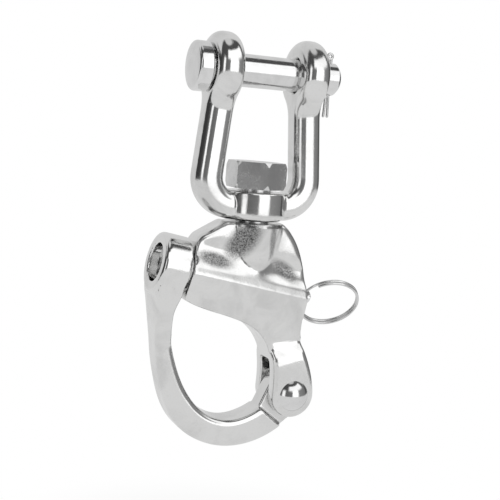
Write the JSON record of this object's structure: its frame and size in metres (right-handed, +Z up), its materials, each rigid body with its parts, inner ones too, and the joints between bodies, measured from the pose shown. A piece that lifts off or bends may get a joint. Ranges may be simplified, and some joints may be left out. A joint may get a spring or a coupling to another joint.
{
  "type": "jaw swivel snap shackle",
  "caption": "Stainless jaw swivel snap shackle: a clevis jaw on a free swivel above a quick-release hook with a spring plunger lock.",
  "frame": {"origin": "centre of the clevis pin, midway between the jaw's two ears", "axes": "+Z up the swivel's axis, away from the hook; +X along the clevis pin from its head to its cotter; -Y towards the side the hook is usually seen from"},
  "size_m": [0.072, 0.022, 0.1282],
  "materials": {
    "polished_stainless": "polished stainless steel, slightly satin",
    "bright_pin": "bright turned stainless steel",
    "stainless_wire": "drawn stainless wire"
  },
  "bodies": {
    "jaw": {"jaw_yoke": "polished_stainless"},
    "clevis_pin": {"clevis_pin": "bright_pin"},
    "cotter": {"cotter_pin": "stainless_wire"},
    "shackle": {"shackle_body": "polished_stainless", "swivel_bolt": "bright_pin", "pivot_rivet": "bright_pin", "plunger_spring": "stainless_wire"},
    "bail": {"snap_bail": "polished_stainless"},
    "plunger": {"latch_plunger": "bright_pin"},
    "ring": {"pull_ring": "stainless_wire"}
  },
  "joints": [
    {"name": "swivel_turn", "type": "hinge", "parent": "jaw", "child": "shackle", "pos_m": [0, 0, -0.0453], "axis": [0, 0, 1], "continuous": true},
    {"name": "clevis_pin_turn", "type": "hinge", "parent": "jaw", "child": "clevis_pin", "pos_m": [0, 0, 0], "axis": [1, 0, 0], "continuous": true},
    {"name": "cotter_slide", "type": "slide", "parent": "clevis_pin", "child": "cotter", "axis": [0, 0, 1], "range_m": [0, 0.0175]},
    {"name": "bail_open", "type": "hinge", "parent": "shackle", "child": "bail", "pos_m": [0.0159, 0, -0.1005], "axis": [0, -1, 0], "range_deg": [0, 104]},
    {"name": "plunger_pull", "type": "slide", "parent": "shackle", "child": "plunger", "axis": [0.9799, 0, -0.1994], "range_m": [0, 0.0085], "stiffness_N_per_m": 900, "springref_m": -0.005, "deforming": ["plunger_spring"]},
    {"name": "ring_swing", "type": "hinge", "parent": "plunger", "child": "ring", "pos_m": [0.01999, 0, -0.06967], "axis": [-0.1571, 0.6157, -0.7722], "range_deg": [-45, 45]}
  ]
}
